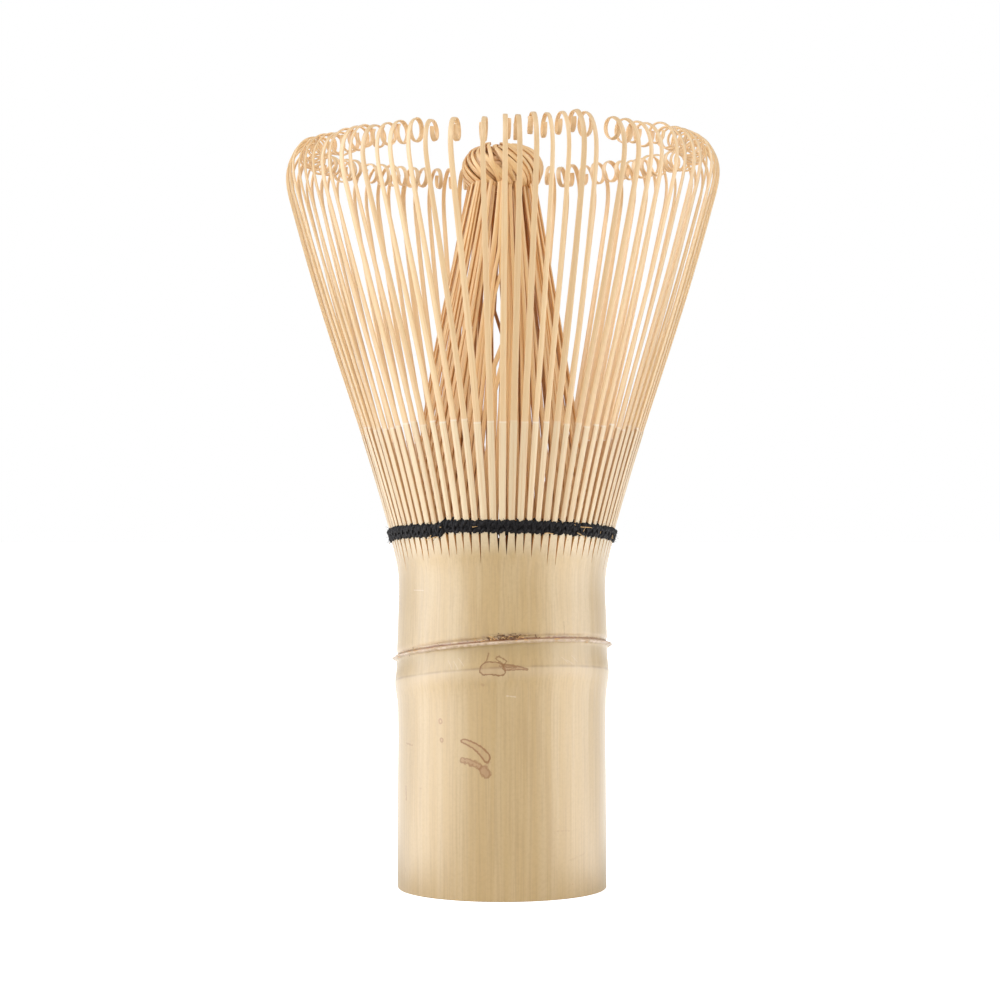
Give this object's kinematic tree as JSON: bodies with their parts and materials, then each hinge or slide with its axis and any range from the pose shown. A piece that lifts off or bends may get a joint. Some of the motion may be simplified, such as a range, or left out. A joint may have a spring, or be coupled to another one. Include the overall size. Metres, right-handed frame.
{
  "type": "bamboo tea whisk",
  "caption": "Hand whisk cut from one bamboo culm: a hollow handle with a node, split into a flared ring of curled outer tines round a knotted inner bundle, bound with black thread.",
  "frame": {"origin": "centre of the culm's cut lower end, at the base plane", "axes": "+Z along the culm towards the tines, -Y the front, which carries the bud scar of the node"},
  "size_m": [0.0614, 0.0614, 0.1041],
  "materials": {
    "bamboo_skin": "satin bamboo skin",
    "outer_bamboo": "scraped bamboo, pale straw",
    "inner_bamboo": "scraped inner bamboo, darker",
    "black_thread": "twisted cotton thread"
  },
  "bodies": {
    "culm": {"culm_handle": "bamboo_skin", "binding_thread": "black_thread", "centre_knot": "inner_bamboo", "inner_tines_01": "inner_bamboo", "inner_tines_02": "inner_bamboo", "inner_tines_03": "inner_bamboo", "inner_tines_04": "inner_bamboo", "inner_tines_05": "inner_bamboo", "inner_tines_06": "inner_bamboo", "inner_tines_07": "inner_bamboo", "inner_tines_08": "inner_bamboo", "inner_tines_09": "inner_bamboo", "inner_tines_10": "inner_bamboo", "inner_tines_11": "inner_bamboo", "inner_tines_12": "inner_bamboo", "inner_tines_13": "inner_bamboo", "inner_tines_14": "inner_bamboo", "inner_tines_15": "inner_bamboo", "inner_tines_16": "inner_bamboo"},
    "outer_comb_01": {"outer_tines_01": "outer_bamboo"},
    "outer_comb_02": {"outer_tines_02": "outer_bamboo"},
    "outer_comb_03": {"outer_tines_03": "outer_bamboo"},
    "outer_comb_04": {"outer_tines_04": "outer_bamboo"},
    "outer_comb_05": {"outer_tines_05": "outer_bamboo"},
    "outer_comb_06": {"outer_tines_06": "outer_bamboo"},
    "outer_comb_07": {"outer_tines_07": "outer_bamboo"},
    "outer_comb_08": {"outer_tines_08": "outer_bamboo"},
    "outer_comb_09": {"outer_tines_09": "outer_bamboo"},
    "outer_comb_10": {"outer_tines_10": "outer_bamboo"},
    "outer_comb_11": {"outer_tines_11": "outer_bamboo"},
    "outer_comb_12": {"outer_tines_12": "outer_bamboo"},
    "outer_comb_13": {"outer_tines_13": "outer_bamboo"},
    "outer_comb_14": {"outer_tines_14": "outer_bamboo"},
    "outer_comb_15": {"outer_tines_15": "outer_bamboo"},
    "outer_comb_16": {"outer_tines_16": "outer_bamboo"}
  },
  "joints": [
    {"name": "comb_01_flex", "type": "hinge", "parent": "culm", "child": "outer_comb_01", "pos_m": [0, -0.0143, 0.04965], "axis": [1, 0, 0], "range_deg": [-3, 4], "stiffness_Nm_per_rad": 0.0078},
    {"name": "comb_02_flex", "type": "hinge", "parent": "culm", "child": "outer_comb_02", "pos_m": [0.00547, -0.01321, 0.04965], "axis": [0.9239, 0.3827, 0], "range_deg": [-3, 4], "stiffness_Nm_per_rad": 0.0078},
    {"name": "comb_03_flex", "type": "hinge", "parent": "culm", "child": "outer_comb_03", "pos_m": [0.01011, -0.01011, 0.04965], "axis": [0.7071, 0.7071, 0], "range_deg": [-3, 4], "stiffness_Nm_per_rad": 0.0078},
    {"name": "comb_04_flex", "type": "hinge", "parent": "culm", "child": "outer_comb_04", "pos_m": [0.01321, -0.00547, 0.04965], "axis": [0.3827, 0.9239, 0], "range_deg": [-3, 4], "stiffness_Nm_per_rad": 0.0078},
    {"name": "comb_05_flex", "type": "hinge", "parent": "culm", "child": "outer_comb_05", "pos_m": [0.0143, 0, 0.04965], "axis": [0, 1, 0], "range_deg": [-3, 4], "stiffness_Nm_per_rad": 0.0078},
    {"name": "comb_06_flex", "type": "hinge", "parent": "culm", "child": "outer_comb_06", "pos_m": [0.01321, 0.00547, 0.04965], "axis": [-0.3827, 0.9239, 0], "range_deg": [-3, 4], "stiffness_Nm_per_rad": 0.0078},
    {"name": "comb_07_flex", "type": "hinge", "parent": "culm", "child": "outer_comb_07", "pos_m": [0.01011, 0.01011, 0.04965], "axis": [-0.7071, 0.7071, 0], "range_deg": [-3, 4], "stiffness_Nm_per_rad": 0.0078},
    {"name": "comb_08_flex", "type": "hinge", "parent": "culm", "child": "outer_comb_08", "pos_m": [0.00547, 0.01321, 0.04965], "axis": [-0.9239, 0.3827, 0], "range_deg": [-3, 4], "stiffness_Nm_per_rad": 0.0078},
    {"name": "comb_09_flex", "type": "hinge", "parent": "culm", "child": "outer_comb_09", "pos_m": [0, 0.0143, 0.04965], "axis": [-1, 0, 0], "range_deg": [-3, 4], "stiffness_Nm_per_rad": 0.0078},
    {"name": "comb_10_flex", "type": "hinge", "parent": "culm", "child": "outer_comb_10", "pos_m": [-0.00547, 0.01321, 0.04965], "axis": [-0.9239, -0.3827, 0], "range_deg": [-3, 4], "stiffness_Nm_per_rad": 0.0078},
    {"name": "comb_11_flex", "type": "hinge", "parent": "culm", "child": "outer_comb_11", "pos_m": [-0.01011, 0.01011, 0.04965], "axis": [-0.7071, -0.7071, 0], "range_deg": [-3, 4], "stiffness_Nm_per_rad": 0.0078},
    {"name": "comb_12_flex", "type": "hinge", "parent": "culm", "child": "outer_comb_12", "pos_m": [-0.01321, 0.00547, 0.04965], "axis": [-0.3827, -0.9239, 0], "range_deg": [-3, 4], "stiffness_Nm_per_rad": 0.0078},
    {"name": "comb_13_flex", "type": "hinge", "parent": "culm", "child": "outer_comb_13", "pos_m": [-0.0143, 0, 0.04965], "axis": [0, -1, 0], "range_deg": [-3, 4], "stiffness_Nm_per_rad": 0.0078},
    {"name": "comb_14_flex", "type": "hinge", "parent": "culm", "child": "outer_comb_14", "pos_m": [-0.01321, -0.00547, 0.04965], "axis": [0.3827, -0.9239, 0], "range_deg": [-3, 4], "stiffness_Nm_per_rad": 0.0078},
    {"name": "comb_15_flex", "type": "hinge", "parent": "culm", "child": "outer_comb_15", "pos_m": [-0.01011, -0.01011, 0.04965], "axis": [0.7071, -0.7071, 0], "range_deg": [-3, 4], "stiffness_Nm_per_rad": 0.0078},
    {"name": "comb_16_flex", "type": "hinge", "parent": "culm", "child": "outer_comb_16", "pos_m": [-0.00547, -0.01321, 0.04965], "axis": [0.9239, -0.3827, 0], "range_deg": [-3, 4], "stiffness_Nm_per_rad": 0.0078}
  ]
}
